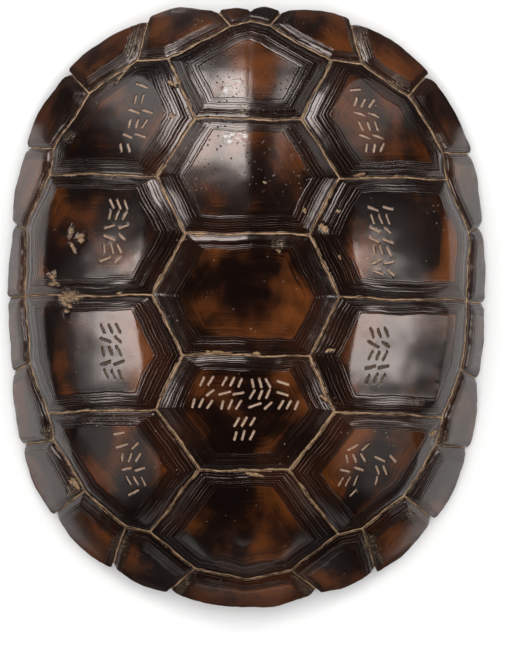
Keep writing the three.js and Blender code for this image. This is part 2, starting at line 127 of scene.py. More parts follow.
def crown(x, y):
    """Height of the horn's outer face at its seams, over the plan."""
    angle = np.arctan2(y, x)
    reach = np.hypot(x, y) / edge_radius(angle)
    keel = keel_height * np.exp(-((np.abs(x) / keel_width) ** keel_sharpness))
    keel = keel * (1 - np.clip(reach, 0, 1) ** 4)
    slope = (dome(1, angle) - dome(0.99, angle)) / 0.01
    return dome(reach, angle) + keel + np.maximum(reach - 1, 0) * 0.4 * slope


# Waves over the plan: their height, their radians to a millimetre of x and of y, and their start
across_waves = [(0.3, 0.11, 0.19, 0.7), (0.13, -0.23, 0.51, 2.1), (0.06, 0.77, 1.13, 4.0)]
along_waves = [(0.3, 0.17, -0.07, 1.9), (0.14, 0.43, 0.29, 0.3), (0.06, 1.21, -0.61, 5.2)]
ridge_waves = [(0.09, 1.3, 0.9, 0), (0.07, 2.9, -2.3, 0), (0.05, 0, 6.1, 0)]


def ripple(points, waves):
    x, y = points.T
    return sum(height * np.sin(by_x * x + by_y * y + start) for height, by_x, by_y, start in waves)


def wander(points):
    """The plan with the slight waver of grown seams, the same for the bone and for every plate."""
    return points + np.column_stack([ripple(points, across_waves), ripple(points, along_waves)])


def normals(points):
    """Which way the dome faces over plan points."""
    x, y = points.T
    slope_x = crown(x + 0.1, y) - crown(x - 0.1, y)
    slope_y = crown(x, y + 0.1) - crown(x, y - 0.1)
    up = np.column_stack([-slope_x, -slope_y, np.full(len(x), 0.2)])
    return up / np.linalg.norm(up, axis=1)[:, None]


def on_shell(points, rise):
    """Plan points lifted onto the shell and raised along its normal, in metres, with the normals."""
    spread = wander(points)
    up = normals(spread)
    lifted = np.column_stack([spread, crown(*spread.T)]) + up * np.reshape(rise, (-1, 1))
    return (lifted + [0, plan_shift, 0]) * MM, up


def standing(points, lift):
    """Plan points at the height of the flat sole, in metres."""
    spread = wander(points)
    height = under_rim(np.arctan2(spread[:, 1], spread[:, 0])) + lift
    return (np.column_stack([spread, height]) + [0, plan_shift, 0]) * MM


def apart(points, least=1e-4):
    """Which points of a line aren't a repeat of the one before."""
    return np.r_[True, np.linalg.norm(np.diff(points, axis=0), axis=1) > least]


seam_step, blunt_turn = 0.9, 0.12


class Outline:
    """A plate's outline, counter-clockwise: each corner has the width of the growth rings along the
    edge that starts there, whether that edge is the shell's own, and how far the horn stands proud.
    Where a seam meets the shell's edge the point is doubled, once for either kind of wall."""

    def __init__(self, corners):
        self.at = np.array([c[0] for c in corners], float)
        self.rings = np.array([c[1] for c in corners], float)
        self.outer = np.array([c[2] for c in corners])
        self.proud = np.array([c[3] for c in corners], float)
        lengths = np.linalg.norm(np.roll(self.at, -1, 0) - self.at, axis=1)
        rows = []
        for i, outer in enumerate(self.outer):
            if outer != self.outer[i - 1]:
                rows.append((i, 0, not outer))
            steps = 1 if outer else max(2, round(lengths[i] / seam_step))
            rows += [(i, k / steps, outer) for k in range(steps)]
        self.start = np.array([row[0] for row in rows])
        self.part = np.array([row[1] for row in rows])
        self.on_rim = np.array([row[2] for row in rows])
        count = len(self.at)
        first = [i for i in range(count) if self.outer[i] and not self.outer[i - 1]]
        self.run = np.arange(first[0], first[0] + self.outer.sum() + 1) % count if first else None

    def mirrored(self):
        """The same plate on the left: mirrored and run the other way round."""
        back = np.arange(len(self.at))[::-1]
        edge = np.roll(np.arange(len(self.at)), 1)[back]
        return Outline(list(zip(
            self.at[back] * mirror, self.rings[edge], self.outer[edge], self.proud[back] * mirror
        )))

    def rim_line(self, at, across, gap, inward, beyond):
        """The corners along the shell's edge, spread between the bands of the two seams by it."""
        run = self.run
        sides = across[run[:-1]]
        out = np.vstack([sides[:1], sides[:-1] + sides[1:], sides[-1:]])
        out = out / np.linalg.norm(out, axis=1)[:, None]
        line = at[run] + out * (inward * self.rings[run[0]] + beyond)
        t = np.linspace(0, 1, len(run))
        before, after = run[0] - 1, run[-1]
        from_first = (line - at[run[0]]) @ across[before]
        from_last = (line - at[run[-1]]) @ across[after]
        start = np.interp(gap + inward * self.rings[before] + beyond, from_first, t)
        end = np.interp(gap + inward * self.rings[after] + beyond, from_last[::-1], t[::-1])
        spread = start + (end - start) * t
        return np.column_stack([np.interp(spread, t, line[:, k]) for k in (0, 1)])

    def loop(self, gap, inward, stands_proud, beyond=0.0):
        """The outline moved in by half the seam gap, a share of the ring widths and a bit more."""
        at = self.at + self.proud * stands_proud
        along = np.roll(at, -1, 0) - at
        along /= np.linalg.norm(along, axis=1)[:, None]
        m = np.column_stack([-along[:, 1], along[:, 0]])
        n = np.roll(m, 1, 0)
        dm = np.where(self.outer, 0, gap) + inward * self.rings + beyond
        dn = np.roll(dm, 1)
        turn = n[:, 0] * m[:, 1] - n[:, 1] * m[:, 0]
        sharp = np.abs(turn) >= blunt_turn
        safe = np.where(sharp, turn, 1)[:, None]
        mitre = np.column_stack([dn * m[:, 1] - dm * n[:, 1], dm * n[:, 0] - dn * m[:, 0]]) / safe
        between = (n + m) / np.linalg.norm(n + m, axis=1)[:, None] * ((dn + dm) / 2)[:, None]
        moved = at + np.where(sharp[:, None], mitre, between)
        if self.run is not None:
            moved[self.run] = self.rim_line(at, m, gap, inward, beyond)
        ahead = moved[(self.start + 1) % len(moved)]
        return moved[self.start] + (ahead - moved[self.start]) * self.part[:, None]


ring_ahead, ring_behind, ring_inward, ring_outward, ring_at_head = 5, 6.2, 8.4, 6, 8
rim_ring_ahead, rim_ring_behind, tail_rings, rim_bevel, edge_steps = 4.2, 2.4, 3.2, 0.7, 14
rim_ring_share, nuchal_notch, tail_notch = 0.36, 1.0, 0.6


def seam_corner(name, rings, side=1):
    return place(seams[name], side), rings, False, np.zeros(2)


def heading(angle):
    return np.array([math.cos(angle), math.sin(angle)])


def leftward(way):
    return way[::-1] * mirror


def edge_run(start, end, seam_start, seam_end, swell_by, corner_by):
    """Points of the shell's edge between two seams, with how far the horn swells out there."""
    a, b, c, d = (place(s) for s in (start, end, seam_start, seam_end))
    first, last = (a - c) / np.linalg.norm(a - c), (b - d) / np.linalg.norm(b - d)
    run = []
    for t in np.arange(edge_steps + 1) / edge_steps:
        angle = math.atan2(a[1], a[0]) * (1 - t) + math.atan2(b[1], b[0]) * t
        ends = math.sin(angle) ** 2
        out = swell_by(ends) * math.sin(math.pi * t) + corner_by(ends) * t**4
        direction = first * (1 - t) + last * t
        radius = float(edge_radius(np.array(angle)))
        at = heading(angle) * radius
        run.append((at, direction / np.linalg.norm(direction) * out))
    return run


def middle_plate(*runs):
    """A plate from runs of corners, each run with how wide the rings are along its seams."""
    return Outline([seam_corner(name, *rest) for names, *rest in runs for name in names.split()])


vertebrals = [middle_plate(
    ("nuchal_side nuchal_back", ring_at_head), ("nuchal_side", ring_at_head, -1),
    ("shoulder", ring_inward, -1), ("first_second", ring_behind, -1),
    ("first_second", ring_inward), ("shoulder", ring_at_head),
)]
for ahead, flank, behind in (
    ("first_second", "second_flank", "second_third"),
    ("second_third", "third_flank", "third_fourth"),
    ("third_fourth", "fourth_flank", "fourth_fifth"),
):
    vertebrals.append(middle_plate(
        (ahead, ring_ahead), (f"{ahead} {flank}", ring_inward, -1), (behind, ring_behind, -1),
        (f"{behind} {flank}", ring_inward),
    ))
vertebrals.append(middle_plate(
    ("fourth_fifth", ring_ahead), ("fourth_fifth", ring_inward, -1),
    ("hip tail_side", ring_behind, -1), ("tail_back tail_side", ring_behind), ("hip", ring_inward),
))
costals = [
    middle_plate(
        ("shoulder first_second", ring_inward), ("second_flank", ring_ahead),
        ("costal_1 rim_3 rim_2 rim_1", ring_outward),
    ),
    middle_plate(
        ("second_flank second_third", ring_inward), ("third_flank", ring_behind),
        ("rim_5 rim_4", ring_outward), ("costal_1", ring_ahead),
    ),
    middle_plate(
        ("third_flank third_fourth", ring_inward), ("fourth_flank", ring_behind),
        ("costal_3 rim_6", ring_outward), ("rim_5", ring_ahead),
    ),
    middle_plate(
        ("fourth_flank fourth_fifth", ring_inward), ("hip rim_9 rim_8 rim_7", ring_outward),
        ("costal_3", ring_ahead),
    ),
]
marginals = []
for k, inner in enumerate((
    ("nuchal_side", "shoulder", "rim_1"), ("rim_1", "rim_2"), ("rim_2", "rim_3"),
    ("rim_3", "costal_1", "rim_4"), ("rim_4", "rim_5"), ("rim_5", "rim_6"),
    ("rim_6", "costal_3", "rim_7"), ("rim_7", "rim_8"), ("rim_8", "rim_9"),
    ("rim_9", "hip", "tail_side"),
)):
    run = edge_run(
        edge_seams[k], edge_seams[k + 1], seams[inner[0]], seams[inner[-1]],
        lambda ends: 0.7 + 1.7 * ends, lambda ends: 0.5 + 1.5 * ends,
    )
    depths = [np.linalg.norm(place(seams[inner[i]]) - run[i][0]) for i in (0, -1)]
    corners = [seam_corner(name, rim_ring_share * min(depths)) for name in inner[:-1]]
    corners.append(seam_corner(inner[-1], rim_ring_behind))
    corners += [(at, rim_bevel, True, proud) for at, proud in reversed(run[1:])]
    corners.append((run[0][0], rim_ring_ahead, False, run[0][1]))
    marginals.append(Outline(corners))

nuchal_run = edge_run(
    edge_seams[0], edge_head, seams["nuchal_side"], seams["nuchal_back"], lambda e: 1.6, lambda e: 0
)[:-1]
tail_run = edge_run(
    edge_seams[-1], edge_tail, seams["tail_side"], seams["tail_back"], lambda e: 1.2, lambda e: 0
)[:-1]
nuchal = Outline(
    [seam_corner("nuchal_side", rim_bevel)]
    + [(at, rim_bevel, True, proud) for at, proud in nuchal_run]
    + [(place(edge_head), rim_bevel, True, np.array([0, -nuchal_notch]))]
    + [(at * mirror, rim_bevel, True, proud * mirror) for at, proud in nuchal_run[:0:-1]]
    + [(nuchal_run[0][0] * mirror, rim_bevel, False, nuchal_run[0][1] * mirror)]
    + [seam_corner("nuchal_side", rim_bevel, -1), seam_corner("nuchal_back", rim_bevel)]
)
tail = Outline(
    [seam_corner("tail_side", tail_rings, -1)]
    + [(at * mirror, rim_bevel, True, proud * mirror) for at, proud in tail_run]
    + [(place(edge_tail), rim_bevel, True, np.array([0, -tail_notch]))]
    + [(at, rim_bevel, True, proud) for at, proud in tail_run[:0:-1]]
    + [(tail_run[0][0], tail_rings, False, tail_run[0][1])]
    + [seam_corner("tail_side", tail_rings), seam_corner("tail_back", tail_rings)]
)
plates = {"nuchal_scute": nuchal, "supracaudal_scute": tail}
plates |= {f"vertebral_scute_{i + 1}": o for i, o in enumerate(vertebrals)}
for part, outlines in (("costal", costals), ("marginal", marginals)):
    for i, outline in enumerate(outlines):
        plates[f"right_{part}_scute_{i + 1}"] = outline
        plates[f"left_{part}_scute_{i + 1}"] = outline.mirrored()


class Skin:
    """A closed mesh built from loops of points, with numbers kept at its points for the material."""

    def __init__(self):
        self.points, self.faces, self.marks, self.count = [], [], {}, 0

    def add(self, points, **marks):
        index = np.arange(self.count, self.count + len(points))
        for name in set(marks) | set(self.marks):
            value = marks.get(name, 0)
            rows = self.marks.setdefault(name, [np.zeros((self.count,) + np.shape(value)[1:])])
            rows.append(np.broadcast_to(value, (len(points),) + rows[0].shape[1:]))
        self.points.append(points)
        self.count += len(points)
        return index

    def band(self, outer, inner, faces_up=True):
        a, b, c, d = outer, np.roll(outer, -1), np.roll(inner, -1), inner
        self.faces += np.column_stack([a, b, c, d] if faces_up else [b, a, d, c]).tolist()

    def cap(self, loop, middle, faces_up=True):
        for a, b in zip(loop.tolist(), np.roll(loop, -1).tolist()):
            self.faces.append((a, b, middle) if faces_up else (b, a, middle))

    def made(self, name):
        points = np.concatenate(self.points)
        mesh = bpy.data.meshes.new(name)
        mesh.from_pydata(points.tolist(), [], self.faces)
        for mark, rows in self.marks.items():
            values = np.concatenate(rows).astype(np.float32)
            kind, value = ("FLOAT_VECTOR", "vector") if values.ndim == 2 else ("FLOAT", "value")
            mesh.attributes.new(mark, kind, "POINT").data.foreach_set(value, values.ravel())
        merged = bmesh.new()
        merged.from_mesh(mesh)
        bmesh.ops.remove_doubles(merged, verts=merged.verts, dist=2e-6)
        merged.to_mesh(mesh)
        merged.free()
        mesh.validate()
        mesh.shade_smooth()
        return mesh


class Wire:
    """One output of a node tree. Arithmetic on it adds Math nodes."""

    def __init__(self, tree, socket):
        self.tree, self.socket = tree, socket

    def __add__(self, other):
        return self.tree.math("ADD", self, other)

    def __sub__(self, other):
        return self.tree.math("SUBTRACT", self, other)

    def __rsub__(self, other):
        return self.tree.math("SUBTRACT", other, self)

    def __mul__(self, other):
        return self.tree.math("MULTIPLY", self, other)

    def __truediv__(self, other):
        return self.tree.math("DIVIDE", self, other)

    __radd__, __rmul__ = __add__, __mul__

    def between(self, low, high):
        """0 below low and 1 above high, with a soft step between."""
        inputs = {"Value": self, "From Min": low, "From Max": high}
        return self.tree.add("ShaderNodeMapRange", {"interpolation_type": "SMOOTHSTEP"}, inputs)

    def most(self, other):
        return self.tree.math("MAXIMUM", self, other)

    def least(self, other):
        return self.tree.math("MINIMUM", self, other)

    def size(self):
        return self.tree.math("ABSOLUTE", self)

    def also(self, name):
        """Another output of the same node."""
        return Wire(self.tree, self.socket.node.outputs[name])


class Tree:
    """A node tree, and the one way in which any node is added to it."""

    def __init__(self, tree):
        self.tree = tree
        tree.nodes.clear()

    def add(self, kind, settings=None, inputs=None, out=0):
        node = self.tree.nodes.new(kind)
        for key, value in (settings or {}).items():
            setattr(node, key, value)
        for key, value in (inputs or {}).items():
            if isinstance(value, Wire):
                self.tree.links.new(value.socket, node.inputs[key])
            else:
                node.inputs[key].default_value = value
        return Wire(self, node.outputs[out]) if node.outputs else node

    def math(self, operation, *values):
        return self.add("ShaderNodeMath", {"operation": operation}, dict(enumerate(values)))

    def blend(self, share, a, b):
        """Colour a where share is 0, and colour b where it is 1."""
        return self.add("ShaderNodeMix", {"data_type": "RGBA"}, {0: share, 6: a, 7: b}, out=2)

    def noise(self, where, scale, detail=2.0, rough=0.5, twist=0.0):
        inputs = {"Vector": where, "Scale": scale, "Detail": detail, "Roughness": rough}
        return self.add("ShaderNodeTexNoise", {}, inputs | {"Distortion": twist}, out="Fac")

    def from_dots(self, where, scale):
        """Distance from scattered dots."""
        inputs = {"Vector": where, "Scale": scale}
        return self.add("ShaderNodeTexVoronoi", {"feature": "F1"}, inputs, out="Distance")

    def stretched(self, where, scale, turn=(0, 0, 0)):
        return self.add("ShaderNodeMapping", {}, {"Vector": where, "Scale": scale, "Rotation": turn})

    def mark(self, name):
        return self.add("ShaderNodeAttribute", {"attribute_name": name}, out="Fac")


def material(name, build, **constants):
    """A material named for its finish. build gives its colour, roughness and height in metres."""
    made = bpy.data.materials.new(name)
    made.use_nodes = True
    tree = Tree(made.node_tree)
    colour, roughness, height = build(tree, tree.add("ShaderNodeTexCoord", out="Object"))
    bump = tree.add("ShaderNodeBump", {}, {"Height": height, "Strength": 1.0, "Distance": 1.0})
    inputs = {"Base Color": colour, "Roughness": roughness, "Normal": bump} | constants
    surface = tree.add("ShaderNodeBsdfPrincipled", {}, inputs)
    tree.add("ShaderNodeOutputMaterial", {}, {"Surface": surface})
    return made


def dry_bone(tree, where):
    """Pale porous bone, stained and soiled, with painted shade browning it down the sides of each seam
    ridge and in the gaps under the horn's edges.
    """
    pores = tree.noise(where, 1400, 3, 0.6)
    stain = tree.noise(where, 90, 4, 0.6, 0.4)
    dirt = tree.noise(where, 420, 4, 0.7)
    pale, tan, brown = (0.5, 0.32, 0.18, 1), (0.32, 0.19, 0.1, 1), (0.07, 0.036, 0.018, 1)
    colour = tree.blend(stain.between(0.35, 0.7), pale, tan)
    outside = 1.0 - tree.mark("inside")
    # In the seams the bone is browned in random stretches as dirt, and away from the crest of each
    # ridge as painted shade, down its sides and into the gap under the horn.
    seam_dirt_and_shade = tree.noise(where, 190, 4, 0.7).between(0.42, 0.62) * 0.8
    seam_dirt_and_shade = seam_dirt_and_shade + tree.mark("edge").between(0.1, 1.0) * 0.75
    soiled = (dirt.between(0.5, 0.7) * (outside * 0.45 + 0.15)).most(seam_dirt_and_shade.least(1.0) * outside)
    colour = tree.blend(soiled, colour, brown)
    return colour, 0.62 + pores * 0.25, pores * 0.00012 + dirt * 0.00015


bone_finish = material("dry_bone", dry_bone)

# The bone stands up in each seam as a narrow ridge: how far from the seam, and how high
bone_top = -horn_edge - horn_clearance
ridge_half = 0.37
ridge = [(0, -0.2), (0.2, -0.24), (0.34, -0.45), (ridge_half, bone_top), (1.6, bone_top), (4, bone_top)]
rib_pairs, rib_height, rib_width, rib_turn, rib_fan, rib_spread = 8, 1.5, 5, 1.15, 0.12, 0.72
spine_height, spine_width, spine_bead = 2.4, 8, 24
inside_loops, bone_crease = 72, 50


def geometry_tree(name, **inputs):
    """A geometry tree with named inputs, given as their kinds, and its starting wires."""
    group = bpy.data.node_groups.new(name, "GeometryNodeTree")
    group.interface.new_socket(name="Geometry", in_out="INPUT", socket_type="NodeSocketGeometry")
    group.interface.new_socket(name="Geometry", in_out="OUTPUT", socket_type="NodeSocketGeometry")
    for key, kind in inputs.items():
        group.interface.new_socket(name=key, in_out="INPUT", socket_type="NodeSocket" + kind)
    tree = Tree(group)
    start = tree.add("NodeGroupInput", out="Geometry")
    return tree, start


def kept(tree, name, kind="FLOAT"):
    """What is kept at the mesh's points under a name."""
    inputs = {"Name": name}
    return tree.add("GeometryNodeInputNamedAttribute", {"data_type": kind}, inputs, out="Attribute")


def keep(tree, geometry, **values):
    for name, value in values.items():
        inputs = {"Geometry": geometry, "Name": name, "Value": value}
        geometry = tree.add("GeometryNodeStoreNamedAttribute", {"data_type": "FLOAT"}, inputs)
    return geometry


def push_out(tree, geometry, height):
    """Moves the surface by a height along the way that it faced before anything was cut in it."""
    outward = kept(tree, "outward", "FLOAT_VECTOR")
    offset = tree.add("ShaderNodeVectorMath", {"operation": "SCALE"}, {0: outward, "Scale": height})
    return tree.add("GeometryNodeSetPosition", {}, {"Geometry": geometry, "Offset": offset})


def end_tree(tree, geometry, finish):
    real = tree.add("GeometryNodeRealizeInstances", {}, {"Geometry": geometry})
    coated = tree.add("GeometryNodeSetMaterial", {}, {"Geometry": real, "Material": finish})
    tree.add("NodeGroupOutput", {}, {"Geometry": coated})


def placed(name, data):
    """A new object in the scene, at the origin."""
    made = bpy.data.objects.new(name, data)
    bpy.context.scene.collection.objects.link(made)
    return made


def shaped(mesh, *steps):
    """The mesh after its geometry trees have run on it, as a plain mesh."""
    blank = placed("blank", mesh)
    for group, values in steps:
        modifier = blank.modifiers.new(group.name, "NODES")
        modifier.node_group = group
        for item in group.interface.items_tree:
            if item.in_out == "INPUT" and item.name in values:
                modifier[item.identifier] = values[item.name]
    graph = bpy.context.evaluated_depsgraph_get()
    result = bpy.data.meshes.new_from_object(
        blank.evaluated_get(graph), preserve_all_data_layers=True, depsgraph=graph
    )
    name = mesh.name
    blank.modifiers.clear()
    bpy.data.objects.remove(blank)
    bpy.data.meshes.remove(mesh)
    result.name = name
    return result


def rib_tree():
    """Raises the ridge of the backbone and the pairs of ribs out of the hollow side."""
    tree, start = geometry_tree(
        "ribs_inside", Pairs="Float", Height="Float", Spine="Float", Finish="Material"
    )
    at = tree.add("GeometryNodeInputPosition", out="Position")
    x = tree.add("ShaderNodeSeparateXYZ", {}, {0: at}, out="X")
    y = x.also("Y")
    aside = x.size()
    across, along = x / (half_width * MM), y / (half_length * MM)
    reach = tree.math("SQRT", across * across + along * along)
    # The ribs fan out a little, and lie closer together towards both ends
    fan = (across.size() * rib_fan + 1.0) * rib_spread
    turn = tree.math("ARCSINE", (along / fan).least(1.0).most(-1.0))
    last = start.also("Pairs") - 1.0
    place_on_spine = (turn + rib_turn) / (2 * rib_turn) * last
    whole = tree.math("ROUND", place_on_spine).most(0.0).least(last)
    away = (place_on_spine - whole).size() / last * (2 * rib_turn * rib_spread * half_length * MM)
    away = away * tree.math("COSINE", turn)
    rib = (1.0 - away.between(0.0, rib_width * MM)) * (1.0 - reach.between(0.68, 0.82))
    rib = rib * aside.between(0.002, 0.01) * start.also("Height")
    beads = tree.math("COSINE", y * (2 * math.pi / (spine_bead * MM))) * 0.25 + 0.75
    spine = (1.0 - aside.between(0.0, spine_width * MM)) * (1.0 - along.size().between(0.76, 0.86))
    relief = rib.most(spine * beads * start.also("Spine")) * kept(tree, "inside")
    end_tree(tree, push_out(tree, start, relief), start.also("Finish"))
    return tree.tree


bone = Skin()
rim_points = []
for outline in plates.values():
    loops = []
    for inset, rise in ridge:
        points = outline.loop(inset, 0, 0)
        flat = outline.on_rim | (rise == bone_top)
        low = np.where(flat, bone_top, rise + ripple(points, ridge_waves))
        loops.append(bone.add(on_shell(points, low)[0], edge=min(inset / ridge_half, 1)))
    for a, b in zip(loops, loops[1:]):
        bone.band(a, b)
    middle = points.mean(axis=0)
    for scale in (0.66, 0.33):
        inner = bone.add(on_shell(middle + (points - middle) * scale, bone_top)[0])
        bone.band(loops[-1], inner)
        loops.append(inner)
    bone.cap(loops[-1], bone.add(on_shell(middle[None], bone_top)[0])[0])
    rim_points.append(outline.at[outline.outer | np.roll(outline.outer, 1)])

rim = np.concatenate(rim_points)
rim = rim[np.argsort(np.arctan2(rim[:, 1], rim[:, 0]))]
rim = rim[apart(rim, 1e-3)]
inner_face = bone_top - bone_thickness
# The hollow's mouth is where its side comes down to the sole, found by halving
near, far = np.full(len(rim), 0.5), np.ones(len(rim))
floor_height = under_rim(np.arctan2(rim[:, 1], rim[:, 0])) * MM
for _ in range(24):
    half = (near + far) / 2
    above = on_shell(rim * half[:, None], inner_face)[0][:, 2] > floor_height
    near, far = np.where(above, half, near), np.where(above, far, half)
top_edge = bone.add(on_shell(rim, bone_top)[0])
sole = standing(rim, 0)
sole[:, :2] = on_shell(rim, bone_top)[0][:, :2]
sole = bone.add(sole)
mouth = on_shell(rim * near[:, None], inner_face)[0]
mouth[:, 2] = floor_height
mouth = bone.add(mouth)
bone.band(sole, top_edge)
bone.band(mouth, sole)
before = mouth
for share in 1 - (np.arange(1, inside_loops) / inside_loops) ** 0.9:
    places, up = on_shell(rim * (near * share)[:, None], inner_face)
    inner = bone.add(places, outward=-up, inside=min((1 - share) / 0.12, 1))
    bone.band(inner, before)
    before = inner
places, up = on_shell(np.zeros((1, 2)), inner_face)
centre = bone.add(places, outward=-up, inside=1)[0]
bone.cap(before, centre, faces_up=False)


def piece(mesh, node):
    """Puts a finished mesh in the scene in place of the CAD node that it stands for."""
    made = placed(mesh.name, mesh)
    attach(made, "root")
    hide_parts(node)


rib_values = {
    "Pairs": float(rib_pairs), "Height": rib_height * MM, "Spine": spine_height * MM,
    "Finish": bone_finish,
}
bone_mesh = shaped(bone.made("domed_bone"), (rib_tree(), rib_values))
bone_mesh.set_sharp_from_angle(angle=math.radians(bone_crease))
piece(bone_mesh, "bone_shell")

# The five vertebral scutes
# Horn plates along the crest, each grown on the bone from its middle outwards: a smooth raised
# plateau ringed by fine mitred growth ridges. The strokes are cut through the dark face by hand.

# The steps between the points that fill a plateau, and how clear they keep of what is cut finely
plateau_step, wear_step, stroke_step, keel_step, closest = 1.3, 0.4, 0.55, 0.6, 0.16
clear_of_stroke, clear_of_keel, clear_of_ring = 1.35, 2.8, 0.35
keel_rows = (-2, -1.4, -0.9, -0.45, 0, 0.45, 0.9, 1.4, 2)
stroke_width, stroke_depth, row_size = 1.05, 0.5, 9.7
full_rise, slope_share, shoulder_steepness, most_flattening = horn_crown - horn_edge, 0.4, 2.2, 1.8
keel_softness, keel_softening, unevenness, horn_crease = 6, 0.9, 0.6, 55
stroke_rows = np.array([-0.95, -0.66, -0.53, -0.42, -0.22, 0, 0.22, 0.42, 0.53, 0.66, 0.95])
random = np.random.default_rng(41)


def stroke(x, y, length, degrees):
    """A short straight stroke through a place on a row, as shares of the row's size."""
    half = heading(math.radians(degrees)) * length / 2
    return np.array([(x, y) - half, (x, y) + half])


# The strokes of a row lie side by side and none touches another, so they never make a character:
# place along the row, length and slant of each.
kinds_of_row = [
    [(-0.29, 0.31, 64), (0.0, 0.31, 64), (0.29, 0.31, 64)],
    [(-0.25, 0.37, 18), (0.27, 0.37, 18)],
    [(-0.3, 0.28, 76), (-0.01, 0.3, 70), (0.29, 0.32, 60)],
    [(-0.2, 0.42, 22), (0.29, 0.3, 40)],
]


def inscription(*columns):
    """Columns of short rows of strokes: where the first and last row lie, and how many rows."""
    strokes = []
    for first, last, count in columns:
        before = -1
        for t in np.linspace(0, 1, count):
            middle = place(first) * (1 - t) + place(last) * t
            kind = random.choice([k for k in range(len(kinds_of_row)) if k != before])
            before = kind
            turned = -1 if random.random() < 0.5 else 1
            for x, length, degrees in kinds_of_row[kind]:
                at = (x + random.uniform(-0.012, 0.012), random.uniform(-0.012, 0.012))
                slant = turned * (degrees + random.uniform(-4, 4))
                length = length * random.uniform(0.94, 1.04)
                strokes.append(middle + stroke(*at, length, slant) * row_size)
    return strokes


def rows_along(strokes):
    """Points in close rows beside and round the ends of each stroke, so that it is cut cleanly."""
    points = []
    for a, b in strokes:
        length = np.linalg.norm(b - a)
        along = (b - a) / length
        across = leftward(along)
        steps = np.linspace(0, 1, max(3, round(length / stroke_step)))
        for row in stroke_rows:
            points.append(a + np.outer(steps, b - a) + across * row * stroke_width)
        for end, out in ((a, -along), (b, along)):
            for row in stroke_rows[stroke_rows > 0]:
                for degrees in (-60, -30, 0, 30, 60):
                    turn = math.radians(degrees)
                    ray = out * math.cos(turn) + across * math.sin(turn)
                    points.append((end + ray * row * stroke_width)[None])
    return points


def inside(points, loop):
    """Which points lie inside a closed loop."""
    x, y = points[:, :1], points[:, 1:]
    x1, y1 = loop.T
    x2, y2 = np.roll(loop, -1, 0).T
    crosses = (y1 > y) != (y2 > y)
    rise = np.where(y2 == y1, 1, y2 - y1)
    return (crosses & (x < (x2 - x1) * (y - y1) / rise + x1)).sum(axis=1) % 2 == 1


def nearest(points, lines):
    """Distance from each point to the nearest of some line pieces."""
    best = np.full(len(points), np.inf)
    for a, b in lines:
        t = np.clip((points - a) @ (b - a) / ((b - a) @ (b - a)), 0, 1)
        best = np.minimum(best, np.linalg.norm(points - a - t[:, None] * (b - a), axis=1))
    return best


def points_over(loop, step):
    """Points in square rows over the box round a loop."""
    x, y = (np.arange(low, high, step) for low, high in zip(loop.min(axis=0), loop.max(axis=0)))
    return np.stack(np.meshgrid(x, y), -1).reshape(-1, 2)


def plateau_points(loop, strokes, on_keel):
    """Points inside the innermost ring: a loose grid, and close rows by the keel and strokes."""
    grid = points_over(loop, plateau_step)
    grid = grid + random.uniform(-0.3, 0.3, grid.shape)
    grid = grid[nearest(grid, strokes) > stroke_width * clear_of_stroke]
    dense = np.concatenate(rows_along(strokes)) if strokes else np.empty((0, 2))
    if on_keel and not strokes:
        keel = np.arange(loop[:, 1].min(), loop[:, 1].max(), keel_step)
        dense = np.array([(x, y) for x in keel_rows for y in keel])
        grid = grid[np.abs(grid[:, 0]) > clear_of_keel]
    _, first = np.unique(np.floor(dense / closest).astype(int), axis=0, return_index=True)
    fine = points_over(loop, wear_step)
    clear = nearest(fine, strokes) > stroke_width * clear_of_stroke
    fine = fine[(wear_at(fine, chips) > -0.5) & clear]
    fine = fine + random.uniform(-0.1, 0.1, fine.shape)
    if len(fine):
        grid = grid[wear_at(grid, chips) < -0.6]
    points = np.concatenate([dense[np.sort(first)], fine, grid])
    points = points[inside(points, loop)]
    sides = list(zip(loop, np.roll(loop, -1, 0)))
    from_ring = nearest(points, sides)
    clear = from_ring > clear_of_ring
    return points[clear], from_ring[clear]


# Chips and scars, and patches of caked dirt, on the plan: middle, half length, half width, turn
chips = [
    (-63.6, 26.1, 2.3, 0.8, -103), (-62.8, 20.6, 3.6, 0.6, -68), (-60.3, 25.1, 1.3, 1.2, 1),
    (-59.9, 23.2, 1.3, 0.9, 17), (-70.0, 9.1, 3.9, 0.6, -58), (-69.7, 10.4, 2.8, 0.6, -101),
    (-70.2, 7.3, 1.5, 0.9, 15), (-65.0, 2.8, 3.7, 2.0, -2), (-64.9, -0.0, 1.5, 1.0, -13),
    (-64.9, -2.2, 1.1, 0.8, 1), (-46.4, 4.1, 1.3, 0.8, -7), (-27.8, 81.4, 2.2, 1.1, 21),
    (20.4, 34.6, 1.1, 1.1, -9), (27.6, 29.0, 1.7, 1.2, -40), (32.9, 35.3, 0.8, 0.7, -26),
    (-9.9, -16.9, 4.8, 0.7, -2), (4.4, -16.5, 1.5, 0.7, 1), (28.7, -32.8, 3.1, 0.7, -27),
    (-45.3, 85.2, 5.6, 0.8, 67), (2.3, -60.9, 4.1, 0.6, -7), (32.9, 18.2, 1.4, 0.5, -66),
    (40.8, 48.7, 2.6, 0.7, 1), (54.6, 48.3, 1.3, 0.6, -7), (11.4, 20.5, 0.9, 0.7, -36),
    (12.1, 22.8, 0.8, 0.5, -13), (6.3, 45.5, 1.1, 0.6, -9), (-27.5, 68.9, 1.5, 0.5, -13),
    (68.0, -45.0, 2.6, 0.9, 31), (-62.4, -65.1, 2.9, 0.8, -50), (-17.0, 25.9, 1.8, 0.5, 1),
    (30.2, -15.8, 2.2, 0.6, 10),
]
